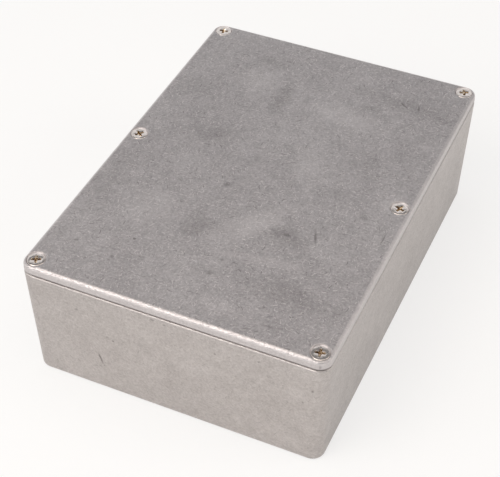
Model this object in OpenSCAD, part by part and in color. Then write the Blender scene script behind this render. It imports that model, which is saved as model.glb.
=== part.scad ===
// Die cast aluminium box with a screwed lid.
// Frame: origin in the middle of the underside, +Z up, X across the width, Y along the length.
// The front is the short side at -Y. The seam is the flat joint between the rim and the lid.

/* [Box] */
// Overall length, along Y, at the seam
box_l = 171; // [120:1:240]
// Overall width, along X, at the seam
box_w = 121; // [80:1:180]
// Overall height with the lid on
box_h = 55; // [35:1:70]
// Radius of the upright corners at the seam
corner_r = 5; // [4.5:0.5:10]
// Thickness of the cast walls
wall = 2.4; // [2:0.1:2.8]
// Thickness of the cast floor
floor_t = 2.4; // [2:0.1:4]
// Draft of the box's walls and posts, in degrees
box_draft = 1.7; // [0.5:0.1:2]
// Radius of the outer edge round the base
base_edge_r = 1.5; // [0.5:0.1:3]
// Radius of the fillet between the walls and the floor, inside
floor_fillet_r = 2; // [0.5:0.1:4]
// Rounding of the rim's outer edge
rim_edge_r = 0.6; // [0.2:0.05:0.8]

/* [Lid] */
// Height of the lid's side above the seam
lid_h = 4.5; // [4:0.1:6]
// Thickness of the lid's plate between the posts
plate_t = 2.2; // [1.6:0.1:3]
// Draft of the lid's side, in degrees
lid_draft = 2.5; // [1:0.5:5]
// Rounding of the lid's top edge
lid_edge_r = 1.6; // [0.5:0.1:2]
// Rounding of the lid's lower edge at the seam
lid_seam_r = 1.3; // [0.2:0.1:1.5]
// How far the locating lip reaches below the seam
lip_depth = 1.8; // [1:0.1:3]
// Thickness of the locating lip
lip_t = 1.5; // [1:0.1:2.5]
// Gap between the lip and the walls and posts
lip_gap = 0.3; // [0.15:0.05:0.5]

/* [Screw posts] */
// Distance of each screw from the outer faces at the seam
screw_inset = 4.9; // [4.5:0.1:6]
// Radius of a post at the rim
post_r = 3.9; // [3:0.1:5]
// Depth of the tapped hole below the rim
hole_depth = 14; // [10:0.5:20]
// Depth of the countersink at the mouth of the tapped hole
hole_mouth = 0.4; // [0.2:0.1:0.8]

/* [Screws] */
// Thread radius
screw_r = 1.75; // [1.5:0.05:2]
// Length from the top of the head to the tip
screw_l = 12.7; // [10:0.1:16]
// Radius of the countersunk head
head_r = 3.4; // [3.2:0.05:3.8]
// Height of the straight rim of the head
head_rim = 0.35; // [0.25:0.05:0.6]
// Rounding of the head's upper edge
head_edge_r = 0.2; // [0.1:0.05:0.25]
// How deep the head lies below the lid's top
head_sink = 0.15; // [0.05:0.05:0.4]
// Bevel at the screw's tip
tip_bevel = 0.4; // [0.2:0.1:0.8]
// Width across the cross recess, wing to wing
recess_span = 4.2; // [3.4:0.1:4.8]
// Width of each wing of the cross recess
recess_wing = 1.05; // [0.8:0.05:1.3]
// Depth of the cross recess
recess_depth = 1.9; // [1.4:0.1:2.4]
// Radius of the round middle of the cross recess
recess_core = 0.9; // [0.6:0.05:1]

/* [Fits] */
// Radial play between a screw and its tapped hole
thread_play = 0.05; // [0.02:0.01:0.1]
// Radial play between a screw and its hole in the lid
hole_play = 0.25; // [0.15:0.05:0.4]
// Play between the cone of a head and its seat
seat_play = 0.03; // [0.02:0.01:0.1]
// Width of the open ring round a head at the lid's top
mouth_play = 0.35; // [0.2:0.05:0.5]

/* [Hidden] */
$fn = 64;
// Spots of the screws: name, side across X, row along Y, turn of the cross recess in degrees
SCREWS = [
    ["lid_screw_front_left", -1, -1, 24],
    ["lid_screw_front_right", 1, -1, 12],
    ["lid_screw_middle_left", -1, 0, 52],
    ["lid_screw_middle_right", 1, 0, 68],
    ["lid_screw_back_left", -1, 1, 8],
    ["lid_screw_back_right", 1, 1, 24]
];

aluminium = "#A19D9A";
plated_steel = "#C8C5BF";

// Reach of a cut past the face it starts from
over = 1;
// How far the rounds of the casting's upright corners and of its edges stand proud of the flats
corner_proud = 0.001;
edge_proud = 0.004;
// Seam height, which is the height of the box's rim
rim_z = box_h - lid_h;
// How far the walls have come inwards at the base
base_step = rim_z * tan(box_draft);
// Inner faces of the walls at the rim
cavity_x = box_w / 2 - wall;
cavity_y = box_l / 2 - wall;
// Centres of the upright corners
corner_x = box_w / 2 - corner_r;
corner_y = box_l / 2 - corner_r;
// Centres of the corner screws
screw_x = box_w / 2 - screw_inset;
screw_y = box_l / 2 - screw_inset;
// Post radius at the floor
post_foot_r = post_r + (rim_z - floor_t) * tan(box_draft);
// The heads' countersinks in the lid, 90 degrees wide
mouth_r = head_r + mouth_play;
lid_hole_r = screw_r + hole_play;
cone_top = head_sink + head_rim;
seat_r = head_r + seat_play * sqrt(2);

function unit(v) = v / norm(v);
function spot_x(spot) = spot[1] * screw_x;
function spot_y(spot) = spot[2] * screw_y;

// ---- Outlines ----

// The sharp corner that an arc takes off, between the two edges that meet there. Where the arc
// stands a little proud of the edges, it crosses them at a clean line instead of touching them
module corner_cut(corner, along_a, along_b, r, proud = 0) {
    half_angle = acos(along_a * along_b) / 2;
    reach = r / tan(half_angle);
    inwards = unit(along_a + along_b);
    centre = corner + inwards * r / sin(half_angle);
    difference() {
        polygon([centre, corner + along_a * reach, corner - inwards * r, corner + along_b * reach]);
        translate(centre) circle(r = r + proud);
    }
}

// A polygon with some of its corners rounded: points, and a radius for each, 0 where it stays sharp
module rounded_polygon(points, radii) {
    last = len(points) - 1;
    difference() {
        polygon(points);
        for (i = [0:last])
            if (radii[i] > 0) {
                before = points[i == 0 ? last : i - 1];
                after = points[i == last ? 0 : i + 1];
                corner_cut(points[i], unit(before - points[i]), unit(after - points[i]), radii[i]);
            }
    }
}

// ---- Solids swept from an outline ----

// A straight stretch of an edge profile, facing +X
module straight_edge(out, half_run) {
    translate([out, half_run, 0])
        rotate([90, 0, 0])
            linear_extrude(2 * half_run) children();
}

// A ring with rounded corners: its section is carried round all four sides
module swept_ring(half_x, half_y) {
    for (turn = [0, 180]) {
        rotate(turn) straight_edge(half_x, half_y) children();
        rotate(turn + 90) straight_edge(half_y, half_x) children();
        rotate(turn) {
            translate([half_x, half_y, 0]) rotate_extrude(angle = 90) children();
            translate([-half_x, half_y, 0]) rotate(90) rotate_extrude(angle = 90) children();
        }
    }
}

// A wedge with two drafted sides, which runs from the axis of a post out to the wall
module drafted_web(left, right, run) {
    foot = post_foot_r - post_r;
    left_foot = left == 0 ? 0 : left + foot;
    right_foot = right == 0 ? 0 : right + foot;
    rotate([90, 0, 0])
        mirror([0, 0, 1])
            linear_extrude(run)
                polygon([[-left_foot, floor_t], [right_foot, floor_t], [right, rim_z], [-left, rim_z]]);
}

// ---- Box ----

// A bar along Y with two opposite drafted faces, which meet the rim half_rim away from its middle
module drafted_bar(half_rim, run, low, high, low_edge) {
    slope = tan(box_draft);
    foot = half_rim - (rim_z - low) * slope;
    mouth = half_rim + (high - rim_z) * slope;
    translate([0, run / 2, 0])
        rotate([90, 0, 0])
            linear_extrude(run)
                rounded_polygon(
                    [[-foot, low], [foot, low], [mouth, high], [-mouth, high]],
                    [low_edge, low_edge, 0, 0]
                );
}

// A block with four drafted sides, given by its half sizes at the rim
module drafted_block(half_x, half_y, low, high, low_edge = 0) {
    intersection() {
        drafted_bar(half_x, 2 * (half_y + over), low, high, low_edge);
        rotate(90) drafted_bar(half_y, 2 * (half_x + over), low, high, low_edge);
    }
}

// What the round of the upright corner at +X +Y takes off: it leans with both drafted sides,
// so its radius stays the same from the rim to the base
module upright_cut() {
    half_angle = 90 - acos(pow(sin(box_draft), 2)) / 2;
    lean = atan(tan(box_draft) * sqrt(2));
    run = box_h + 2 * over;
    translate([box_w / 2, box_l / 2, rim_z])
        rotate(a = lean, v = [-1, 1, 0])
            translate([0, 0, over - run])
                linear_extrude(run)
                    corner_cut(
                        [0, 0],
                        [cos(225 + half_angle), sin(225 + half_angle)],
                        [cos(225 - half_angle), sin(225 - half_angle)],
                        corner_r,
                        corner_proud
                    );
}

// Carries an edge profile round the casting. The profile starts from the axes of the leaning
// corners at the height where its arc has its centre
module edge_ring(centre_z) {
    inset = corner_r / cos(box_draft) + (rim_z - centre_z) * tan(box_draft);
    swept_ring(box_w / 2 - inset, box_l / 2 - inset)
        translate([inset, 0]) children();
}

// The shape of the whole casting, without its hollow
module box_outside() {
    up_the_wall = [sin(box_draft), cos(box_draft)];
    difference() {
        drafted_block(box_w / 2, box_l / 2, 0, rim_z);
        for (side = [0, 1], end = [0, 1])
            mirror([side, 0, 0]) mirror([0, end, 0]) upright_cut();
        edge_ring(base_edge_r)
            corner_cut([-base_step, 0], [-1, 0], up_the_wall, base_edge_r, edge_proud);
        edge_ring(rim_z - rim_edge_r)
            corner_cut([0, rim_z], [-1, 0], -up_the_wall, rim_edge_r, edge_proud);
    }
}

// The hollow before the posts stand in it
module box_hollow() {
    drafted_block(cavity_x, cavity_y, floor_t, rim_z + over, floor_fillet_r);
}

// Quarter or half cone of a post, about its screw's axis
module post_cone(sweep) {
    rotate_extrude(angle = sweep)
        polygon([[0, floor_t], [post_foot_r, floor_t], [post_r, rim_z], [0, rim_z]]);
}

// Post in the corner at +X +Y, blended straight into both walls
module corner_post() {
    rotate(180) post_cone(90);
    drafted_web(post_r, 0, screw_inset);
    rotate(-90) drafted_web(0, post_r, screw_inset);
    translate([0, 0, floor_t]) cube([screw_inset, screw_inset, rim_z - floor_t]);
}

// Post in the middle of the wall at +X
module middle_post() {
    rotate(90) post_cone(180);
    rotate(-90) drafted_web(post_r, post_r, screw_inset);
}

module posts() {
    for (side = [0, 1])
        mirror([side, 0, 0]) {
            translate([screw_x, 0, 0]) middle_post();
            for (end = [0, 1])
                mirror([0, end, 0])
                    translate([screw_x, screw_y, 0]) corner_post();
        }
}

// Tapped hole in a post, with a drill's point and a small countersink
module tapped_hole() {
    tap_r = screw_r + thread_play;
    rotate_extrude()
        polygon([
            [0, rim_z - hole_depth - tap_r / 2],
            [tap_r, rim_z - hole_depth],
            [tap_r, rim_z - hole_mouth],
            [tap_r + hole_mouth, rim_z],
            [tap_r + hole_mouth, rim_z + over],
            [0, rim_z + over]
        ]);
}

module box() {
    color(aluminium)
        difference() {
            box_outside();
            difference() {
                box_hollow();
                posts();
            }
            for (spot = SCREWS)
                translate([spot_x(spot), spot_y(spot), 0]) tapped_hole();
        }
}

// ---- Lid ----

// Outline of a post at the rim, grown by a gap, out to the walls
module post_outline(spot, gap) {
    r = post_r + gap;
    translate([spot_x(spot), spot_y(spot)])
        if (spot[2] == 0)
            rotate(spot[1] > 0 ? 0 : 180) {
                circle(r = r);
                translate([0, -r]) square([screw_inset, 2 * r]);
            }
        else
            into_corner(spot)
                rounded_polygon(
                    [[-r, -r], [screw_inset, -r], [screw_inset, screw_inset], [-r, screw_inset]],
                    [r, 0, 0, 0]
                );
}

// Turns what is drawn for the corner at +X +Y into the corner of a screw
module into_corner(spot) {
    mirror([spot[1] > 0 ? 0 : 1, 0])
        mirror([0, spot[2] > 0 ? 0 : 1])
            children();
}

// Outline of the opening inside the rim, shrunk by a gap
module opening_outline(gap) {
    difference() {
        square([2 * (cavity_x - gap), 2 * (cavity_y - gap)], center = true);
        for (spot = SCREWS) post_outline(spot, gap);
    }
}

// Clearance hole and countersink for a screw, straight above the head's cone
module screw_seat() {
    rotate_extrude()
        polygon([
            [0, -lip_depth - over],
            [lid_hole_r, -lip_depth - over],
            [lid_hole_r, lid_h - cone_top - (seat_r - lid_hole_r)],
            [mouth_r, lid_h - cone_top + (mouth_r - seat_r)],
            [mouth_r, lid_h + over],
            [0, lid_h + over]
        ]);
}

// The lid's plate and side: the side leans inwards, about upright axes at the corners
module lid_plate() {
    top_r = corner_r - lid_h * tan(lid_draft);
    translate([-corner_x, -corner_y, 0]) cube([2 * corner_x, 2 * corner_y, lid_h]);
    swept_ring(corner_x, corner_y)
        rounded_polygon(
            [[0, 0], [corner_r, 0], [top_r, lid_h], [0, lid_h]],
            [0, lid_seam_r, lid_edge_r, 0]
        );
}

module lid() {
    color(aluminium)
        translate([0, 0, rim_z])
            difference() {
                union() {
                    lid_plate();
                    translate([0, 0, -lip_depth])
                        linear_extrude(lip_depth + (lid_h - plate_t) / 2) opening_outline(lip_gap);
                }
                translate([0, 0, -lip_depth - over])
                    linear_extrude(lip_depth + over + lid_h - plate_t)
                        opening_outline(lip_gap + lip_t);
                for (spot = SCREWS)
                    translate([spot_x(spot), spot_y(spot), 0]) screw_seat();
            }
}

// ---- Screws ----

// One pair of opposite wings of the cross recess, which draw in towards the bottom
module recess_wings() {
    foot = recess_span / 4;
    rotate([90, 0, 0])
        translate([0, 0, -recess_wing / 2])
            linear_extrude(recess_wing)
                polygon([
                    [-recess_span / 2, 0], [-foot, -recess_depth],
                    [foot, -recess_depth], [recess_span / 2, 0],
                    [recess_span / 2, over], [-recess_span / 2, over]
                ]);
}

module cross_recess() {
    recess_wings();
    rotate(90) recess_wings();
    translate([0, 0, -recess_depth]) cylinder(h = recess_depth + over, r = recess_core);
}

// Countersunk screw with its head's top at z = 0
module countersunk_screw() {
    difference() {
        rotate_extrude()
            rounded_polygon(
                [
                    [0, 0],
                    [0, -screw_l],
                    [screw_r - tip_bevel, -screw_l],
                    [screw_r, -screw_l + tip_bevel],
                    [screw_r, -head_rim - (head_r - screw_r)],
                    [head_r, -head_rim],
                    [head_r, 0]
                ],
                [0, 0, 0, 0, 0, 0, head_edge_r]
            );
        cross_recess();
    }
}

module lid_screw(spot) {
    color(plated_steel)
        translate([spot_x(spot), spot_y(spot), box_h - head_sink])
            rotate(spot[3]) countersunk_screw();
}

box();
lid();
for (spot = SCREWS)
    lid_screw(spot);
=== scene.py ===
"""Looks of a die cast aluminium box: a tumbled casting, its lid and six plated lid screws.

Everything is in metres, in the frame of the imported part: the box stands on z = 0, its long side
runs along Y and the front is the short side at -Y.
"""

import logging
import math
from dataclasses import dataclass
from enum import Enum

import bmesh
import bpy
from mathutils import Matrix, Quaternion, Vector


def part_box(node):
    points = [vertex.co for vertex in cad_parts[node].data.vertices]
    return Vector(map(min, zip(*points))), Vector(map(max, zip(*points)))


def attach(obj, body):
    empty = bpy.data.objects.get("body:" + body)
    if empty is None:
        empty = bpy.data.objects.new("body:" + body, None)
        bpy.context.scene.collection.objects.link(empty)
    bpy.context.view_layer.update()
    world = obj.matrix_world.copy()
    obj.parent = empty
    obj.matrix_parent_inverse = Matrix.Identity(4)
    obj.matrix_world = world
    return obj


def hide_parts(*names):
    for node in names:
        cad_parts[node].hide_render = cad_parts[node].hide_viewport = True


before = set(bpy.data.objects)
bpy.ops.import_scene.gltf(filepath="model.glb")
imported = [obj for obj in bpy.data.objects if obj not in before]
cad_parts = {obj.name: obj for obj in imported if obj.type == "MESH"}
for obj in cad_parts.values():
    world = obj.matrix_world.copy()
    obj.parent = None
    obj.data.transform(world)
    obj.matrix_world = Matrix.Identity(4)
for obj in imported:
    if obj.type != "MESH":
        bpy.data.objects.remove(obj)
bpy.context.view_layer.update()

log = logging.getLogger("cast_box")

MM = 0.001
LID_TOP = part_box("lid")[1][2]
BOX_LOW, BOX_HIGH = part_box("box")
FRONT_Y = BOX_LOW[1]
RIGHT_X = BOX_HIGH[0]
JOINT_Z = BOX_HIGH[2]
SCREW_TURNS = {
    "lid_screw_front_left": 24,
    "lid_screw_front_right": 12,
    "lid_screw_middle_left": 52,
    "lid_screw_middle_right": 68,
    "lid_screw_back_left": 8,
    "lid_screw_back_right": 24,
}


# ---- Small tools ----


def linear(hex_colour: str) -> tuple[float, float, float, float]:
    """Turns an sRGB hex colour into the linear values that a shader socket takes.

    Args:
        hex_colour: the colour as #RRGGBB.

    Returns:
        Red, green, blue and an alpha of 1.
    """
    channels = [int(hex_colour[i : i + 2], 16) / 255 for i in (1, 3, 5)]
    red, green, blue = [c / 12.92 if c <= 0.04045 else ((c + 0.055) / 1.055) ** 2.4 for c in channels]
    return red, green, blue, 1.0


def add_node(
    tree: bpy.types.NodeTree,
    kind: str,
    inputs: dict[str | int, object] | None = None,
    **settings: object,
) -> bpy.types.Node:
    """Adds a node, sets it up and links it.

    Args:
        tree: the node tree that gets the node.
        kind: the node's type name.
        inputs: for each input, by name or place, a value or the output socket that feeds it.
        settings: the node's own properties.

    Returns:
        The new node.
    """
    node = tree.nodes.new(kind)
    for name, value in settings.items():
        setattr(node, name, value)
    for key, value in (inputs or {}).items():
        if isinstance(value, bpy.types.NodeSocket):
            tree.links.new(value, node.inputs[key])
        else:
            node.inputs[key].default_value = value
    return node


def calc(
    tree: bpy.types.NodeTree, operation: str, *values: bpy.types.NodeSocket | float, clamp: bool = False
) -> bpy.types.NodeSocket:
    """Adds one step of arithmetic.

    Args:
        tree: the node tree that gets the step.
        operation: the name of the operation.
        values: what the step works on, each a socket or a number.
        clamp: True to hold the result between 0 and 1.

    Returns:
        The result.
    """
    inputs = dict(enumerate(values))
    return add_node(tree, "ShaderNodeMath", inputs, operation=operation, use_clamp=clamp).outputs[0]


def remap(
    tree: bpy.types.NodeTree,
    value: bpy.types.NodeSocket,
    source: tuple[float, float] = (0.0, 1.0),
    target: tuple[float, float] = (0.0, 1.0),
    smooth: bool = False,
) -> bpy.types.NodeSocket:
    """Maps one range of a value onto another and holds it at both ends.

    Args:
        tree: the node tree that gets the step.
        value: the value to map.
        source: the range's two ends, of which the first may be the larger.
        target: what the two ends become.
        smooth: True to ease in and out at the ends.

    Returns:
        The mapped value.
    """
    inputs = dict(zip(("From Min", "From Max", "To Min", "To Max"), (*source, *target)))
    kind = "SMOOTHSTEP" if smooth else "LINEAR"
    node = add_node(tree, "ShaderNodeMapRange", {"Value": value, **inputs}, interpolation_type=kind)
    return node.outputs[0]


class Mix(Enum):
    """What is mixed: the node's data type, its first input and its output."""

    NUMBERS = ("FLOAT", 2, 0)
    PLACES = ("VECTOR", 4, 1)
    COLOURS = ("RGBA", 6, 2)


def mix(
    tree: bpy.types.NodeTree, kind: Mix, share: object, first: object, second: object
) -> bpy.types.NodeSocket:
    """Mixes two numbers, places or colours.

    Args:
        tree: the node tree that gets the step.
        kind: what is mixed.
        share: how much of the second there is, from 0 to 1.
        first: a socket or a value.
        second: a socket or a value.

    Returns:
        The mixture.
    """
    data_type, place, result = kind.value
    inputs = {0: share, place: first, place + 1: second}
    return add_node(tree, "ShaderNodeMix", inputs, data_type=data_type).outputs[result]


def bump(
    tree: bpy.types.NodeTree,
    height: bpy.types.NodeSocket,
    distance: float,
    strength: float = 1.0,
    under: bpy.types.NodeSocket | None = None,
) -> bpy.types.NodeSocket:
    """Adds a relief.

    Args:
        tree: the node tree that gets the relief.
        height: how high the surface stands, from 0 to 1.
        distance: the height of 1, in metres.
        strength: how much of the relief counts.
        under: the normal of another relief that this one lies on.

    Returns:
        The normal.
    """
    inputs: dict[str | int, object] = {"Height": height, "Strength": strength, "Distance": distance}
    if under is not None:
        inputs["Normal"] = under
    return add_node(tree, "ShaderNodeBump", inputs).outputs[0]


def new_material(name: str) -> bpy.types.Material:
    """Makes a material with an empty node tree.

    Args:
        name: the material's name.

    Returns:
        The material.
    """
    material = bpy.data.materials.new(name)
    material.use_nodes = True
    material.node_tree.nodes.clear()
    return material


def add_metal(tree: bpy.types.NodeTree, inputs: dict[str | int, object]) -> None:
    """Adds a metal's surface and the output that shows it.

    Args:
        tree: the material's tree.
        inputs: the surface's inputs, by name.
    """
    surface = add_node(tree, "ShaderNodeBsdfPrincipled", inputs)
    add_node(tree, "ShaderNodeOutputMaterial", {"Surface": surface.outputs[0]})


def deselect_all() -> None:
    """Leaves object mode's selection empty, so that an operator reaches only what follows."""
    if bpy.context.object and bpy.context.object.mode != "OBJECT":
        bpy.ops.object.mode_set(mode="OBJECT")
    bpy.ops.object.select_all(action="DESELECT")


def select_only(piece: bpy.types.Object) -> None:
    """Makes one piece the only selected object, and the active one.

    Args:
        piece: the object to select.
    """
    deselect_all()
    piece.select_set(True)
    bpy.context.view_layer.objects.active = piece


def apply_modifiers(piece: bpy.types.Object) -> None:
    """Applies each modifier of a piece, in their order.

    Args:
        piece: the object whose modifiers are applied.
    """
    select_only(piece)
    for modifier in list(piece.modifiers):
        bpy.ops.object.modifier_apply(modifier=modifier.name)


def head_centre(node: str) -> Vector:
    """Finds the middle of the top of a screw's head.

    Args:
        node: the screw's node.

    Returns:
        The place, in metres.
    """
    low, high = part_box(node)
    return Vector(((low[0] + high[0]) / 2, (low[1] + high[1]) / 2, high[2]))


# ---- Marks ----


class Face(Enum):
    """The face of the box that a mark lies on."""

    TOP = "top"
    FRONT = "front"
    RIGHT = "right"


@dataclass(frozen=True)
class Mark:
    """One mark that use has left on the casting: a smudge, a speck, a scratch or a rubbed streak.

    Lengths are in millimetres. Across and up are the mark's place on its face: X and Y on the top,
    X and Z on the front, Y and Z on the right. Length and width are half the mark's own, and turn
    is in degrees. Depth is above 0 for a dark mark and below 0 for a pale one.
    """

    face: Face
    across: float
    up: float
    length: float
    width: float
    turn: float
    depth: float
    soft: float = 0.9

    def frame(self) -> tuple[tuple[float, ...], tuple[float, ...], tuple[float, ...]]:
        """Gives the mark's own frame on its face.

        Returns:
            The place, the turn about X, Y and Z, and the half sizes.
        """
        a, b, length, width, thick = (v * MM for v in (self.across, self.up, self.length, self.width, 2))
        turn = math.radians(self.turn)
        if self.face is Face.TOP:
            return (a, b, LID_TOP), (0, 0, turn), (length, width, thick)
        if self.face is Face.FRONT:
            return (a, FRONT_Y, b), (0, -turn, 0), (length, thick, width)
        return (RIGHT_X, a, b), (turn, 0, 0), (thick, length, width)


# ---- Studio ----


@dataclass(frozen=True)
class Lamp:
    """One soft box: a rectangle that shines evenly towards the middle of the casting.

    Azimuth counts in degrees from the front, positive to the right, elevation from the floor, and
    level is how bright its face looks beside a white of 1. Reach, width and height are in metres.
    """

    name: str
    azimuth: float
    elevation: float
    reach: float
    width: float
    height: float
    level: float
    colour: str = "#FFF6EE"

    def build(self) -> None:
        """Hangs the lamp."""
        turn, rise = math.radians(self.azimuth), math.radians(self.elevation)
        flat = math.cos(rise)
        away = Vector((math.sin(turn) * flat, -math.cos(turn) * flat, math.sin(rise)))
        data = bpy.data.lights.new(self.name, "AREA")
        data.shape = "RECTANGLE"
        data.size = self.width
        data.size_y = self.height
        data.energy = self.level * math.pi * self.width * self.height
        data.color = linear(self.colour)[:3]
        lamp = bpy.data.objects.new(self.name, data)
        lamp.location = Vector((0, 0, 0.03)) + away * self.reach
        lamp.rotation_euler = (-away).to_track_quat("-Z", "Y").to_euler()
        bpy.context.collection.objects.link(lamp)


@dataclass
class Studio:
    """A pale floor, a white backdrop under a grey ceiling, two soft boxes and one overhead.

    The levels are how bright each part looks beside a white of 1. Ceiling_low and ceiling_high are
    the heights, in degrees, between which the backdrop turns into the ceiling. Right_from and
    right_to are the sines of the angles to the right of the middle between which it dims.
    """

    floor_size: float = 6.0
    floor_glow: float = 0.62
    floor_mirrored: float = 0.3
    floor_white: float = 1.05
    backdrop_level: float = 0.78
    right_level: float = 0.5
    right_from: float = 0.1
    right_to: float = 0.6
    ceiling_low: float = 40.5
    ceiling_high: float = 44.5
    ceiling_level: float = 0.20
    eye: tuple[float, float, float] = (0.15703, -0.36701, 0.38817)
    aim: tuple[float, float, float] = (-0.00137, -0.01154, 0.0275)
    roll: float = 0.217
    lens: float = 95.54
    lamps: tuple[Lamp, ...] = (
        Lamp("soft_box_left", -30, 42, 1.0, 0.7, 0.8, 1.9),
        Lamp("soft_box_right", 104, 30, 1.0, 0.6, 0.6, 1.6),
        Lamp("soft_box_overhead", 0, 76, 1.0, 1.2, 1.6, 0.95),
    )

    def build_floor(self) -> None:
        """Lays the floor that the box stands on: matt to the box, bright to the camera."""
        deselect_all()
        bpy.ops.mesh.primitive_plane_add(size=self.floor_size, location=(0, 0, 0))
        floor = bpy.context.object
        floor.name = "studio_floor"
        material = new_material("matt_white_floor")
        tree = material.node_tree
        rays = add_node(tree, "ShaderNodeLightPath")
        mirrored = calc(tree, "MULTIPLY", rays.outputs["Is Glossy Ray"], self.floor_mirrored)
        share = calc(tree, "MULTIPLY_ADD", rays.outputs["Is Camera Ray"], self.floor_glow, mirrored)
        matt = add_node(tree, "ShaderNodeBsdfDiffuse", {"Color": linear("#F4F4F3")})
        white = {"Color": linear("#FFFFFF"), "Strength": self.floor_white}
        glow = add_node(tree, "ShaderNodeEmission", white)
        both = {0: share, 1: matt.outputs[0], 2: glow.outputs[0]}
        surface = add_node(tree, "ShaderNodeMixShader", both)
        add_node(tree, "ShaderNodeOutputMaterial", {"Surface": surface.outputs[0]})
        floor.data.materials.append(material)

    def build_surround(self) -> None:
        """Sets the world: white paper round the horizon, dimmer on the right, and a dark ceiling."""
        world = bpy.data.worlds.new("studio_surround")
        bpy.context.scene.world = world
        world.use_nodes = True
        tree = world.node_tree
        tree.nodes.clear()
        direction = add_node(tree, "ShaderNodeTexCoord")
        height = add_node(tree, "ShaderNodeSeparateXYZ", {0: direction.outputs["Generated"]})
        low, high = (math.sin(math.radians(edge)) for edge in (self.ceiling_low, self.ceiling_high))
        levels = (self.backdrop_level, self.ceiling_level)
        level = remap(tree, height.outputs["Z"], (low, high), levels, smooth=True)
        reach = (self.right_from, self.right_to)
        side = remap(tree, height.outputs["X"], reach, (1.0, self.right_level), smooth=True)
        strength = calc(tree, "MULTIPLY", level, side)
        white = {"Color": linear("#FFFFFF"), "Strength": strength}
        light = add_node(tree, "ShaderNodeBackground", white)
        add_node(tree, "ShaderNodeOutputWorld", {"Surface": light.outputs[0]})

    def build_camera(self) -> None:
        """Sets the camera up, in front and to the right of the box."""
        eye, aim = Vector(self.eye), Vector(self.aim)
        data = bpy.data.cameras.new("camera")
        data.sensor_width = 36
        data.lens = self.lens
        data.clip_start = 0.01
        camera = bpy.data.objects.new("camera", data)
        camera.location = eye
        roll = Quaternion((0, 0, 1), math.radians(self.roll))
        camera.rotation_mode = "QUATERNION"
        camera.rotation_quaternion = (aim - eye).to_track_quat("-Z", "Y") @ roll
        bpy.context.collection.objects.link(camera)
        bpy.context.scene.camera = camera

    def build(self) -> None:
        """Builds the whole studio."""
        self.build_camera()
        self.build_floor()
        self.build_surround()
        for lamp in self.lamps:
            lamp.build()
        bpy.context.scene.view_settings.view_transform = "Standard"
        log.info("studio: camera, floor, surround and %d lamps", len(self.lamps))


# ---- Castings ----


@dataclass(frozen=True)
class Blotches:
    """One layer of soft noise, which is stretched so that low becomes 0 and high becomes 1."""

    size_mm: float
    detail: float
    low: float
    high: float


@dataclass(frozen=True)
class Scoring:
    """One family of scratches: their spacing, their width and the share of the grid that has one."""

    cell_mm: float
    width_mm: float
    share: float


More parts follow.
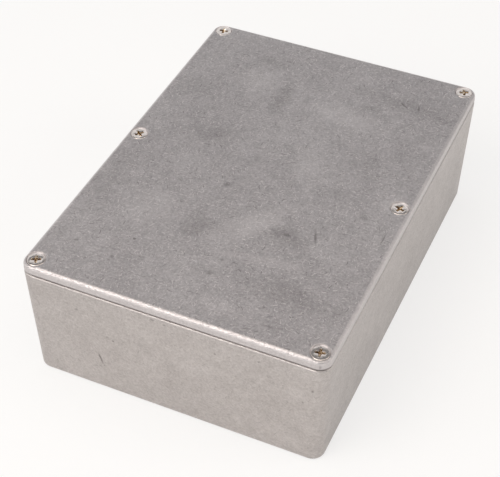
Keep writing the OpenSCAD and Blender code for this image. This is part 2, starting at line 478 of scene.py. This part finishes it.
@dataclass(frozen=True)
class TumbledAluminium:
    """Die cast aluminium as it leaves the tumbling barrel: a grey satin with soft cloudy patches.

    The oxide skin is mottled in patches of centimetres, of millimetres and of less than one. The
    tumbling stones leave short curved scratches that lie every way, and rub the rounded edges
    brighter than the faces. A belt takes the flash off the side of the lid, which leaves it paler,
    with fine upright lines. Its lower edge, just above the joint, gets a dark band of grime and
    painted shade of the groove. The tumbling also rounds over the mouths of the screw holes. Pairs
    of values are the two ends between which a feature fades in.
    """

    name: str
    seed: float = 0.0
    belt_trimmed: bool = False
    screws: tuple[str, ...] = ()

    pale: str = "#D6D1CF"
    deep: str = "#A39D9B"
    bright: str = "#DFDADA"
    # dark colour of the dark scratches and the marks, and of the grime and painted shade over the joint
    soil_and_shade: str = "#5A5452"

    clouds: Blotches = Blotches(30.0, 3.5, 0.3, 0.7)
    mottle: Blotches = Blotches(4.5, 2, 0.3, 0.7)
    speckle: Blotches = Blotches(0.9, 3, 0.28, 0.72)
    noise_gain: float = 0.72
    mottle_share: float = 0.5
    speckle_share: float = 0.6

    long_scratches: Scoring = Scoring(2.2, 0.36, 0.5)
    short_scratches: Scoring = Scoring(1.3, 0.30, 0.6)
    dark_scratches: Scoring = Scoring(2.8, 0.4, 0.4)
    scored: float = 0.5
    scored_dark: float = 0.6

    burnished: float = 0.15
    rise_off_wall: tuple[float, float] = (0.08, 0.35)
    rise_off_top: tuple[float, float] = (0.999, 0.96)

    belt_lines: Blotches = Blotches(0.7, 2, 0.2, 0.75)
    belt_stretch: float = 0.08
    belt_rise: tuple[float, float] = (0.7, 0.4)
    belt_low: float = 0.65
    belt_cover: float = 0.65

    # grime and painted shade: a dark band on the lid's lower edge, over the joint
    grime_and_shade_rise: float = 0.8
    grime_and_shade_reach: float = 0.55
    grime_and_shade_core: float = 0.1
    grime_and_shade_cover: float = 0.6

    mouth_r: float = 3.75
    mouth_round: float = 0.7
    mouth_drop: float = 0.22

    rag_mm: float = 6.0
    raggedness: float = 1.5

    metallic: float = 0.9
    roughness: float = 0.38
    edge_roughness: float = 0.30
    relief_mm: float = 0.13
    scratch_relief: float = 0.8

    def noise(
        self, tree: bpy.types.NodeTree, spot: bpy.types.NodeSocket, layer: Blotches
    ) -> bpy.types.NodeSocket:
        """Draws one layer of soft noise.

        Args:
            tree: the material's tree.
            spot: the place on the piece, in metres.
            layer: the layer to draw.

        Returns:
            A value from 0 to 1.
        """
        inputs = {
            "Vector": spot,
            "W": self.seed,
            "Scale": 1 / (layer.size_mm * MM),
            "Detail": layer.detail,
            "Roughness": self.noise_gain,
        }
        field = add_node(tree, "ShaderNodeTexNoise", inputs, noise_dimensions="4D")
        return remap(tree, field.outputs[0], (layer.low, layer.high))

    def unfold(
        self, tree: bpy.types.NodeTree, spot: bpy.types.NodeSocket, normal: bpy.types.NodeSocket
    ) -> bpy.types.NodeSocket:
        """Lays each face of the casting flat, so that a pattern can be drawn in its own plane.

        Args:
            tree: the material's tree.
            spot: the place on the piece, in metres.
            normal: the surface's normal.

        Returns:
            The place in the plane of the face: X and Y on the top, along and Z on the walls.
        """
        x, y, z = add_node(tree, "ShaderNodeSeparateXYZ", {0: spot}).outputs
        lean = add_node(tree, "ShaderNodeSeparateXYZ", {0: normal}).outputs
        x_size, y_size, z_size = (calc(tree, "ABSOLUTE", part) for part in lean)
        level = calc(tree, "GREATER_THAN", z_size, 0.7)
        sideways = calc(tree, "GREATER_THAN", x_size, y_size)
        top, front, side = (
            add_node(tree, "ShaderNodeCombineXYZ", {0: across, 1: up}).outputs[0]
            for across, up in ((x, y), (x, z), (y, z))
        )
        wall = mix(tree, Mix.PLACES, sideways, front, side)
        return mix(tree, Mix.PLACES, level, wall, top)

    def scratches(
        self, tree: bpy.types.NodeTree, flat: bpy.types.NodeSocket, family: Scoring
    ) -> bpy.types.NodeSocket:
        """Draws short curved scratches, one in each cell of a loose grid, each turned its own way.

        Args:
            tree: the material's tree.
            flat: the place in the plane of the face, in metres.
            family: the family of scratches to draw. A scratch grows as long as its cell.

        Returns:
            A value that is 1 in a deep scratch and 0 away from it.
        """
        size = {0: flat, "Scale": 1 / (family.cell_mm * MM)}
        scaled = add_node(tree, "ShaderNodeVectorMath", size, operation="SCALE").outputs[0]
        shift = {0: scaled, 1: (self.seed, family.cell_mm, 0.0)}
        moved = add_node(tree, "ShaderNodeVectorMath", shift, operation="ADD").outputs[0]
        grid = {"Vector": moved, "Scale": 1.0}
        cells = add_node(tree, "ShaderNodeTexVoronoi", grid, voronoi_dimensions="2D")
        inside = {0: moved, 1: cells.outputs["Position"]}
        local = add_node(tree, "ShaderNodeVectorMath", inside, operation="SUBTRACT").outputs[0]
        turn, chance, bend = add_node(
            tree, "ShaderNodeSeparateColor", {0: cells.outputs["Color"]}
        ).outputs
        angle = calc(tree, "MULTIPLY", turn, 2 * math.pi)
        turned = add_node(
            tree, "ShaderNodeVectorRotate", {"Vector": local, "Angle": angle}, rotation_type="Z_AXIS"
        )
        along, across, _ = add_node(tree, "ShaderNodeSeparateXYZ", {0: turned.outputs[0]}).outputs
        squared = calc(tree, "MULTIPLY", along, along)
        off = calc(tree, "ABSOLUTE", calc(tree, "MULTIPLY_ADD", squared, bend, across))
        width = family.width_mm / family.cell_mm
        line = remap(tree, off, (0.5 * width, 0.15 * width))
        end = remap(tree, squared, (0.2, 0.1))
        held = remap(tree, chance, (1 - family.share, 1.0))
        return calc(tree, "MULTIPLY", calc(tree, "MULTIPLY", line, end), held)

    def rounded(self, tree: bpy.types.NodeTree, normal: bpy.types.NodeSocket) -> bpy.types.NodeSocket:
        """Finds the rims, where the surface rounds over from a wall to the top.

        Args:
            tree: the material's tree.
            normal: the surface's normal.

        Returns:
            A value from 0 on the faces to 1 on the rims.
        """
        rise = add_node(tree, "ShaderNodeSeparateXYZ", {0: normal}).outputs[2]
        off_wall = remap(tree, rise, self.rise_off_wall)
        off_top = remap(tree, rise, self.rise_off_top)
        return calc(tree, "MULTIPLY", off_wall, off_top)

    def joint(self, tree: bpy.types.NodeTree, spot: bpy.types.NodeSocket) -> bpy.types.NodeSocket:
        """Finds the lid's lower edge, just above the joint, which is darkened with grime and painted
        shade.

        Args:
            tree: the material's tree.
            spot: the place on the piece, in metres.

        Returns:
            A value from 0 away from the edge to 1 on it.
        """
        height = add_node(tree, "ShaderNodeSeparateXYZ", {0: spot}).outputs[2]
        off = calc(tree, "SUBTRACT", height, JOINT_Z + self.grime_and_shade_rise * MM)
        away = calc(tree, "ABSOLUTE", off)
        return remap(tree, away, (self.grime_and_shade_reach * MM, self.grime_and_shade_core * MM))

    def belted(
        self, tree: bpy.types.NodeTree, spot: bpy.types.NodeSocket, normal: bpy.types.NodeSocket
    ) -> bpy.types.NodeSocket:
        """Finds the side of the casting, where the belt has run, with its fine upright lines.

        Args:
            tree: the material's tree.
            spot: the place on the piece, in metres.
            normal: the surface's normal.

        Returns:
            A value that is 0 off the side and wavers below 1 on it.
        """
        rise = add_node(tree, "ShaderNodeSeparateXYZ", {0: normal}).outputs[2]
        upright = remap(tree, rise, self.belt_rise)
        stretch = {"Vector": spot, "Scale": (1.0, 1.0, self.belt_stretch)}
        drawn = add_node(tree, "ShaderNodeMapping", stretch).outputs[0]
        lines = remap(tree, self.noise(tree, drawn, self.belt_lines), target=(self.belt_low, 1.0))
        return calc(tree, "MULTIPLY", upright, lines)

    def mouths(self, tree: bpy.types.NodeTree, spot: bpy.types.NodeSocket) -> bpy.types.NodeSocket:
        """Finds the mouths of the screw holes, whose edges the tumbling has rounded over.

        Args:
            tree: the material's tree.
            spot: the place on the piece, in metres.

        Returns:
            A value from 0 on the face to 1 at the edge of a hole.
        """
        distances = [
            add_node(
                tree, "ShaderNodeVectorMath", {0: spot, 1: head_centre(name)}, operation="DISTANCE"
            ).outputs["Value"]
            for name in self.screws
        ]
        nearest = distances[0]
        for distance in distances[1:]:
            nearest = calc(tree, "MINIMUM", nearest, distance)
        edge = remap(tree, nearest, ((self.mouth_r + self.mouth_round) * MM, self.mouth_r * MM))
        return calc(tree, "POWER", edge, 2.0)

    def marks(
        self, tree: bpy.types.NodeTree, spot: bpy.types.NodeSocket, marks: list[Mark]
    ) -> bpy.types.NodeSocket:
        """Lays a list of marks over the skin.

        Args:
            tree: the material's tree.
            spot: the place on the piece, in metres.
            marks: the marks to draw.

        Returns:
            How deep the marks are: above 0 where dark, below 0 where rubbed pale.
        """
        grain = {"Vector": spot, "Scale": 1 / (self.rag_mm * MM), "Detail": 6, "Roughness": 0.65}
        rag = add_node(tree, "ShaderNodeTexNoise", grain).outputs[1]
        centred = {0: rag, 1: (0.5,) * 3}
        shift = add_node(tree, "ShaderNodeVectorMath", centred, operation="SUBTRACT").outputs[0]
        depths = []
        for mark in marks:
            place, turn, size = mark.frame()
            local = add_node(
                tree,
                "ShaderNodeMapping",
                {"Vector": spot, "Location": place, "Rotation": turn, "Scale": size},
                vector_type="TEXTURE",
            )
            moved = {0: shift, 1: (self.raggedness,) * 3, 2: local.outputs[0]}
            ragged = add_node(tree, "ShaderNodeVectorMath", moved, operation="MULTIPLY_ADD")
            reach = add_node(tree, "ShaderNodeVectorMath", {0: ragged.outputs[0]}, operation="LENGTH")
            edge = (1.0, 1.0 - mark.soft)
            depths.append(remap(tree, reach.outputs["Value"], edge, (0.0, mark.depth), smooth=True))
        total = depths[0]
        for depth in depths[1:]:
            total = calc(tree, "ADD", total, depth)
        return total

    def blend(
        self, tree: bpy.types.NodeTree, share: bpy.types.NodeSocket, amount: float,
        under: bpy.types.NodeSocket, over: str,
    ) -> bpy.types.NodeSocket:
        """Lays a colour over another.

        Args:
            tree: the material's tree.
            share: where the new colour lies, from 0 to 1.
            amount: how strongly it covers where the share is 1.
            under: the colour below.
            over: the new colour, as #RRGGBB.

        Returns:
            The mixed colour.
        """
        part = calc(tree, "MULTIPLY", share, amount, clamp=True)
        return mix(tree, Mix.COLOURS, part, under, linear(over))

    def material(self, marks: list[Mark]) -> bpy.types.Material:
        """Makes the casting's material.

        Args:
            marks: the marks that lie on this casting.

        Returns:
            The material.
        """
        material = new_material(self.name)
        tree = material.node_tree
        coordinates = add_node(tree, "ShaderNodeTexCoord").outputs
        spot, normal = coordinates["Object"], coordinates["Normal"]
        flat = self.unfold(tree, spot, normal)
        clouds, mottle, speckle = (
            self.noise(tree, spot, layer) for layer in (self.clouds, self.mottle, self.speckle)
        )
        long, short, dark = (
            self.scratches(tree, flat, family)
            for family in (self.long_scratches, self.short_scratches, self.dark_scratches)
        )
        pale = calc(tree, "MAXIMUM", long, short)
        marked = self.marks(tree, spot, marks)
        rubbed = calc(tree, "MULTIPLY", marked, -1.0)

        rounded = self.rounded(tree, normal)
        bevel = None
        if self.screws:
            mouths = self.mouths(tree, spot)
            rounded = calc(tree, "MAXIMUM", rounded, mouths)
            bevel = bump(tree, calc(tree, "MULTIPLY", mouths, -self.mouth_drop * MM), 1.0)

        soft = mix(tree, Mix.NUMBERS, self.mottle_share, clouds, mottle)
        skin = mix(tree, Mix.NUMBERS, self.speckle_share, soft, speckle)
        colour = mix(tree, Mix.COLOURS, skin, linear(self.deep), linear(self.pale))
        colour = self.blend(tree, dark, self.scored_dark * self.scored, colour, self.soil_and_shade)
        colour = self.blend(tree, pale, self.scored, colour, self.bright)
        if self.belt_trimmed:
            side = self.belted(tree, spot, normal)
            colour = self.blend(tree, side, self.belt_cover, colour, self.bright)
        colour = self.blend(tree, rounded, self.burnished, colour, self.bright)
        # painted shade: the lid's lower edge over the joint is darkened like the groove's shade, with
        # grime
        if self.belt_trimmed:
            colour = self.blend(tree, self.joint(tree, spot), self.grime_and_shade_cover, colour, self.soil_and_shade)
        colour = self.blend(tree, marked, 1.0, colour, self.soil_and_shade)
        colour = self.blend(tree, rubbed, 1.0, colour, self.bright)

        relief = calc(tree, "MULTIPLY_ADD", pale, -self.scratch_relief, speckle)
        surface = {
            "Base Color": colour,
            "Metallic": self.metallic,
            "Roughness": remap(tree, rounded, target=(self.roughness, self.edge_roughness)),
            "Normal": bump(tree, relief, self.relief_mm * MM, under=bevel),
        }
        add_metal(tree, surface)
        return material


@dataclass
class Castings:
    """The box and its lid, two castings of one alloy that keep their CAD shapes."""

    box_node: str = "box"
    lid_node: str = "lid"

    def lid_marks(self) -> list[Mark]:
        """Lists the marks on the lid.

        Returns:
            The marks, from the broad soft patches to the specks and fine scratches.
        """
        top = Face.TOP
        return [
            # dull patches of the oxide skin
            Mark(top, -27, 68, 11, 5, -15, 0.16, 0.85),
            Mark(top, -12, 46, 19, 5, 95, 0.19, 0.85),
            Mark(top, -50, 38, 14, 10, 20, 0.12, 0.85),
            Mark(top, -28, 12, 13, 10, 0, 0.14, 0.85),
            Mark(top, 38, 61, 24, 6, -10, 0.17, 0.85),
            Mark(top, 35, 18, 9, 12, 20, 0.11, 0.85),
            Mark(top, -11, -40, 7, 10, 10, 0.21, 0.85),
            Mark(top, 23, -32, 13, 6, -10, 0.19, 0.85),
            Mark(top, 36, -60, 28, 8, -3, 0.16, 0.85),
            Mark(top, -54, -30, 9, 24, 0, 0.12, 0.85),
            Mark(top, 3, -60, 10, 5, 0, 0.10, 0.85),
            # patches and streaks rubbed pale
            Mark(top, -27, 52, 11, 10, 0, -0.18, 0.75),
            Mark(top, 18, 44, 25, 9, -12, -0.24, 0.75),
            Mark(top, 9, -31, 25, 8, 53, -0.36, 0.85),
            Mark(top, 22, -47, 24, 3.5, 8, -0.24, 0.75),
            Mark(top, -30, -38, 14, 16, 0, -0.14, 0.75),
            Mark(top, 14, 12, 9, 16, 0, -0.14, 0.75),
            Mark(top, 15, -76, 18, 6, 0, -0.15, 0.75),
            Mark(top, 51, 1, 5, 7, 0, -0.24),
            Mark(top, 52, 39, 2.4, 2.2, 0, -0.30, 0.8),
            # smudges
            Mark(top, -10, -14.7, 2.4, 2.0, 20, 0.38),
            Mark(top, -5.8, 5, 2.2, 3.4, 30, 0.20),
            Mark(top, 45.3, -10.5, 2.0, 2.6, 60, 0.35),
            Mark(top, 31, -2, 3.0, 5.0, 30, 0.14),
            Mark(top, 35, -76.7, 2.6, 1.1, 10, 0.35, 0.8),
            Mark(top, 23, 54, 4.0, 2.6, 0, 0.15),
            Mark(top, 6, -53.3, 1.8, 1.2, 0, 0.32),
            Mark(top, 4.7, -61.3, 1.8, 1.8, 30, 0.35),
            # specks
            Mark(top, -28, -56.3, 1.0, 0.8, 0, 0.45, 0.6),
            Mark(top, -31, -68, 0.9, 0.8, 0, 0.38, 0.6),
            Mark(top, -47.5, -65.5, 1.1, 0.9, 0, 0.38, 0.6),
            Mark(top, -56, -63, 0.8, 0.8, 0, 0.30, 0.6),
            Mark(top, -4.5, -43, 0.9, 0.9, 60, 0.38, 0.6),
            Mark(top, 22.5, -31.5, 1.8, 1.2, 0, 0.30, 0.8),
            # scratches
            Mark(top, 32.5, -28, 5.2, 0.8, 112, 0.5, 0.8),
            Mark(top, 36, 61.5, 3.4, 0.7, 140, 0.45, 0.8),
            Mark(top, 42, 62, 3.0, 0.6, 110, 0.4, 0.8),
            Mark(top, -27, 5, 2.6, 0.6, 5, 0.35, 0.8),
            Mark(top, 55.8, -19, 0.5, 5.0, 0, 0.4, 0.8),
            # nicks in the side, at the front corners
            Mark(Face.FRONT, 57.5, 52.6, 0.7, 1.3, 0, 0.5),
            Mark(Face.FRONT, -58.5, 53.0, 0.6, 1.0, 0, 0.4),
        ]

    def box_marks(self) -> list[Mark]:
        """Lists the marks on the box's walls.

        Returns:
            The marks.
        """
        front = Face.FRONT
        return [
            # the long scratch, its tail and the specks below it
            Mark(front, -29.9, 17.2, 4.6, 0.8, -73, 0.9, 0.9),
            Mark(front, -28.6, 13.6, 0.8, 0.6, -40, 0.6, 0.8),
            Mark(front, -31.9, 12.0, 1.0, 0.8, 0, 0.6, 0.8),
            Mark(front, -30.3, 12.6, 1.0, 0.8, 0, 0.6, 0.8),
            # specks
            Mark(front, -23.6, 29.6, 0.9, 0.8, 0, 0.5, 0.8),
            Mark(front, -25.8, 30.8, 1.1, 0.8, 20, 0.4, 0.8),
            Mark(front, -37.6, 40.8, 1.1, 0.9, 40, 0.4, 0.8),
            Mark(front, -40.0, 36.7, 2.0, 0.9, 0, 0.2),
            Mark(front, -6.1, 48.9, 1.2, 0.8, 0, 0.4, 0.8),
            Mark(front, -1.3, 48.1, 0.9, 0.7, 0, 0.4, 0.8),
            Mark(front, 35.0, 45.6, 0.8, 0.8, 0, 0.4, 0.8),
            Mark(front, 18.1, 41.9, 0.7, 0.8, 0, 0.4, 0.8),
            Mark(front, 55.3, 39.6, 0.8, 1.2, -20, 0.6, 0.8),
            Mark(front, 51.7, 31.9, 1.0, 0.8, 0, 0.4, 0.8),
            Mark(front, 33.3, 6.1, 1.6, 1.2, 0, 0.35),
            # dull and pale patches
            Mark(front, -10, 33, 10, 7, 0, 0.08, 1.0),
            Mark(front, 48, 17, 6, 5, 0, 0.12, 1.0),
            Mark(front, 19, 37, 6, 4, 0, 0.08, 1.0),
            Mark(front, 8, 30, 12, 10, 30, -0.10, 1.0),
        ]

    def dress(self) -> None:
        """Gives both castings their finish."""
        finishes = {
            self.box_node: (TumbledAluminium("tumbled_aluminium_box", seed=2.0), self.box_marks()),
            self.lid_node: (
                TumbledAluminium(
                    "tumbled_aluminium_lid",
                    seed=7.0,
                    belt_trimmed=True,
                    screws=tuple(SCREW_TURNS),
                    pale="#D2CECF",
                    deep="#908B8D",
                    scored=0.95,
                    burnished=0.5,
                ),
                self.lid_marks(),
            ),
        }
        for node, (finish, marks) in finishes.items():
            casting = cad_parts[node]
            casting.data.materials[0] = finish.material(marks)
            log.info("%s: tumbled casting, %d marks", node, len(marks))


# ---- Screws ----


@dataclass(frozen=True)
class BrightPlatedSteel:
    """Steel under bright nickel: nearly white and glossy, with a faint uneven haze."""

    name: str = "bright_plated_steel"
    colour: str = "#F5EDE9"
    haze: str = "#DDD5D0"
    haze_mm: float = 1.4
    roughness: float = 0.14
    relief_mm: float = 0.03
    relief_share: float = 0.15

    def material(self) -> bpy.types.Material:
        """Makes the plating's material.

        Returns:
            The material.
        """
        material = new_material(self.name)
        tree = material.node_tree
        spot = add_node(tree, "ShaderNodeTexCoord").outputs["Object"]
        grain = {"Vector": spot, "Scale": 1 / (self.haze_mm * MM), "Detail": 4}
        film = add_node(tree, "ShaderNodeTexNoise", grain).outputs[0]
        share = remap(tree, film, (0.35, 0.7))
        gloss = (self.roughness - 0.04, self.roughness + 0.08)
        surface = {
            "Base Color": mix(tree, Mix.COLOURS, share, linear(self.colour), linear(self.haze)),
            "Metallic": 1.0,
            "Roughness": remap(tree, film, (0.3, 0.7), gloss),
            "Normal": bump(tree, film, self.relief_mm * MM, self.relief_share),
        }
        add_metal(tree, surface)
        return material


@dataclass(frozen=True)
class BrownRecess:
    """The cross recess is coloured dark brown, with bright plating in patches where the driver rubbed
    it.
    """

    name: str = "brown_recess"
    # the dark brown that colours the whole recess
    film: str = "#7C5C3A"
    bare: str = "#F1E7D6"
    patch_mm: float = 0.8
    roughness: float = 0.24

    def material(self) -> bpy.types.Material:
        """Makes the recess's material.

        Returns:
            The material.
        """
        material = new_material(self.name)
        tree = material.node_tree
        spot = add_node(tree, "ShaderNodeTexCoord").outputs["Object"]
        grain = {"Vector": spot, "Scale": 1 / (self.patch_mm * MM), "Detail": 3}
        dirt = add_node(tree, "ShaderNodeTexNoise", grain).outputs[0]
        share = remap(tree, dirt, (0.42, 0.56))
        colour = mix(tree, Mix.COLOURS, share, linear(self.film), linear(self.bare))
        add_metal(tree, {"Base Color": colour, "Metallic": 1.0, "Roughness": self.roughness})
        return material


@dataclass
class LidScrews:
    """Six countersunk M3.5 screws with cross recesses. Lengths are in millimetres.

    Over is how far the tools that press the recess stand above the head, and wing_foot is how much
    a wing draws in towards its bottom, along and across. Edges that turn by more than smooth_under
    degrees are rounded by edge_round, and the rest are shaded smooth.
    """

    head_r: float = 3.4
    head_rim: float = 0.35
    head_round: float = 0.28
    core_r: float = 1.42
    thread_r: float = 1.74
    pitch: float = 0.6
    length: float = 12.7
    recess_span: float = 4.2
    recess_wing: float = 1.05
    recess_depth: float = 1.9
    recess_core: float = 0.9
    recess_round: float = 0.16
    wing_foot: tuple[float, float] = (0.5, 0.75)
    core_sink: float = 0.02
    over: float = 0.5
    edge_round: float = 0.12
    tip: float = 0.4
    tip_taper: float = 0.7
    thread_start: float = 0.35
    thread_end: float = 0.6
    crest_half: float = 0.07
    root_half: float = 0.29
    root_sink: float = 0.06
    turn_steps: int = 40
    smooth_under: float = 35.0

    def select_faces(self, piece: bpy.types.Object, low: bool) -> None:
        """In edit mode, selects only the flat end face of a piece.

        Args:
            piece: the piece in edit mode.
            low: True for the lower end, False for the upper one.
        """
        bpy.ops.mesh.select_mode(type="FACE")
        bpy.ops.mesh.select_all(action="DESELECT")
        mesh = bmesh.from_edit_mesh(piece.data)
        heights = [face.calc_center_median().z for face in mesh.faces]
        end = min(heights) if low else max(heights)
        for face in mesh.faces:
            level = abs(face.calc_center_median().z - end) < 1e-6
            face.select_set(level and abs(face.normal.z) > 0.9)
        mesh.select_flush_mode()
        bmesh.update_edit_mesh(piece.data)

    def draw_out(self, piece: bpy.types.Object, steps: list[tuple[float, float]]) -> None:
        """Extrudes the lower end of a round piece downwards, step by step.

        Args:
            piece: the piece in edit mode.
            steps: for each step, how far down it goes and how much the end then scales, in mm.
        """
        for drop, scale in steps:
            self.select_faces(piece, low=True)
            bpy.ops.mesh.extrude_region_move(TRANSFORM_OT_translate={"value": (0, 0, -drop * MM)})
            bpy.ops.transform.resize(value=(scale, scale, 1))

    def build_blank(self) -> bpy.types.Object:
        """Turns the head, the cone and the core of the shank from one round bar.

        Returns:
            The blank, with the top of its head at z = 0.
        """
        deselect_all()
        rim = self.head_rim * MM
        bpy.ops.mesh.primitive_cylinder_add(
            vertices=96, radius=self.head_r * MM, depth=rim, location=(0, 0, -rim / 2)
        )
        blank = bpy.context.object
        blank.name = "screw_blank"
        bpy.ops.object.transform_apply(location=True, rotation=False, scale=False)
        bpy.ops.object.mode_set(mode="EDIT")
        cone = self.head_r - self.core_r
        shank = self.length - self.head_rim - cone - self.tip
        steps = [(cone, self.core_r / self.head_r), (shank, 1.0), (self.tip, self.tip_taper)]
        self.draw_out(blank, steps)
        self.select_faces(blank, low=False)
        bpy.ops.mesh.region_to_loop()
        bpy.ops.mesh.bevel(offset=self.head_round * MM, segments=5, affect="EDGES")
        bpy.ops.object.mode_set(mode="OBJECT")
        return blank

    def build_wing_cutter(self, turn: float) -> bpy.types.Object:
        """Shapes the tool that presses one pair of opposite wings of the recess.

        Args:
            turn: the pair's turn about the screw's axis, in radians.

        Returns:
            The tool.
        """
        deselect_all()
        depth = self.recess_depth + self.over
        bpy.ops.mesh.primitive_cube_add(size=1, location=(0, 0, 0))
        tool = bpy.context.object
        bpy.ops.object.mode_set(mode="EDIT")
        bpy.ops.mesh.select_all(action="SELECT")
        bpy.ops.transform.resize(value=(self.recess_span * MM, self.recess_wing * MM, depth * MM))
        bpy.ops.transform.translate(value=(0, 0, (self.over - self.recess_depth) * MM / 2))
        self.select_faces(tool, low=True)
        bpy.ops.transform.resize(value=(*self.wing_foot, 1))
        bpy.ops.mesh.select_mode(type="EDGE")
        bpy.ops.mesh.select_all(action="DESELECT")
        mesh = bmesh.from_edit_mesh(tool.data)
        for edge in mesh.edges:
            upright = abs(edge.verts[0].co.z - edge.verts[1].co.z) > depth * MM / 2
            edge.select_set(upright)
        bmesh.update_edit_mesh(tool.data)
        bpy.ops.mesh.bevel(offset=self.recess_round * MM, segments=3, affect="EDGES")
        bpy.ops.mesh.select_all(action="SELECT")
        mesh = bmesh.from_edit_mesh(tool.data)
        rotation = Matrix.Rotation(turn, 3, "Z")
        bmesh.ops.rotate(mesh, verts=mesh.verts, cent=(0, 0, 0), matrix=rotation)
        bmesh.update_edit_mesh(tool.data)
        bpy.ops.object.mode_set(mode="OBJECT")
        return tool

    def build_core_cutter(self) -> bpy.types.Object:
        """Shapes the tool that presses the round middle of the recess.

        Returns:
            The tool.
        """
        deselect_all()
        depth = self.recess_depth + self.over
        middle = (self.over - self.recess_depth - self.core_sink) / 2
        bpy.ops.mesh.primitive_cylinder_add(
            vertices=48,
            radius=self.recess_core * MM,
            depth=depth * MM,
            location=(0, 0, middle * MM),
        )
        tool = bpy.context.object
        bpy.ops.object.transform_apply(location=True, rotation=False, scale=False)
        return tool

    def build_thread(self) -> bpy.types.Object:
        """Winds the thread's ridge from below the cone to the tip.

        Returns:
            The ridge, a closed coil round the core.
        """
        deselect_all()
        crest = self.thread_r - self.core_r
        bpy.ops.mesh.primitive_plane_add(size=1, location=(0, 0, 0))
        ridge = bpy.context.object
        ridge.name = "screw_thread"
        bpy.ops.object.mode_set(mode="EDIT")
        bpy.ops.mesh.select_all(action="SELECT")
        bpy.ops.mesh.delete(type="ONLY_FACE")
        mesh = bmesh.from_edit_mesh(ridge.data)
        start = -(self.head_rim + self.head_r - self.core_r) - self.thread_start
        for vert in mesh.verts:
            outer = vert.co.x > 0
            half = self.crest_half if outer else self.root_half
            radius = self.core_r + (crest if outer else -self.root_sink)
            vert.co = Vector((radius, 0, start + (half if vert.co.y > 0 else -half))) * MM
        bmesh.update_edit_mesh(ridge.data)
        bpy.ops.object.mode_set(mode="OBJECT")
        coil = ridge.modifiers.new("coil", "SCREW")
        coil.axis = "Z"
        coil.steps = coil.render_steps = self.turn_steps
        coil.screw_offset = -self.pitch * MM
        coil.iterations = int((self.length + start - self.thread_end) / self.pitch)
        apply_modifiers(ridge)
        bpy.ops.object.mode_set(mode="EDIT")
        bpy.ops.mesh.select_all(action="SELECT")
        bpy.ops.mesh.remove_doubles(threshold=1e-7)
        bpy.ops.mesh.fill_holes(sides=4)
        bpy.ops.mesh.select_all(action="SELECT")
        bpy.ops.mesh.normals_make_consistent(inside=False)
        bpy.ops.object.mode_set(mode="OBJECT")
        return ridge

    def build_master(self) -> bpy.types.Object:
        """Makes the one screw that the six are copied from.

        Returns:
            The finished screw, with the top of its head at z = 0.
        """
        plating, film = BrightPlatedSteel().material(), BrownRecess().material()
        blank = self.build_blank()
        blank.data.materials.append(plating)
        blank.data.materials.append(film)
        wings = [self.build_wing_cutter(turn) for turn in (0, math.pi / 2)]
        tools = [*wings, self.build_core_cutter()]
        for tool in tools:
            tool.data.materials.append(film)
            cut = blank.modifiers.new("recess", "BOOLEAN")
            cut.operation = "DIFFERENCE"
            cut.solver = "EXACT"
            cut.material_mode = "TRANSFER"
            cut.object = tool
            apply_modifiers(blank)
        for tool in tools:
            bpy.data.objects.remove(tool)
        edges = blank.modifiers.new("edges", "BEVEL")
        edges.width = self.edge_round * MM
        edges.segments = 3
        edges.limit_method = "ANGLE"
        edges.angle_limit = math.radians(self.smooth_under)
        apply_modifiers(blank)
        thread = self.build_thread()
        thread.data.materials.append(plating)
        deselect_all()
        thread.select_set(True)
        blank.select_set(True)
        bpy.context.view_layer.objects.active = blank
        bpy.ops.object.join()
        bpy.ops.object.shade_smooth_by_angle(angle=math.radians(self.smooth_under))
        return blank

    def build(self) -> None:
        """Builds the master and sets a copy of it in the place of each screw."""
        master = self.build_master()
        for name, turn in SCREW_TURNS.items():
            middle = head_centre(name)
            screw = bpy.data.objects.new(f"{name}_turned", master.data.copy())
            rotation = Matrix.Rotation(math.radians(turn), 4, "Z")
            screw.data.transform(Matrix.Translation(middle) @ rotation)
            bpy.context.collection.objects.link(screw)
            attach(screw, "root")
            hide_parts(name)
            log.info("%s: %d faces", screw.name, len(screw.data.polygons))
        bpy.data.objects.remove(master)


def main() -> None:
    """Builds the studio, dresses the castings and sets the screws."""
    logging.basicConfig(level=logging.INFO, format="%(name)s: %(message)s")
    Studio().build()
    Castings().dress()
    LidScrews().build()


if __name__ == "__main__":
    main()
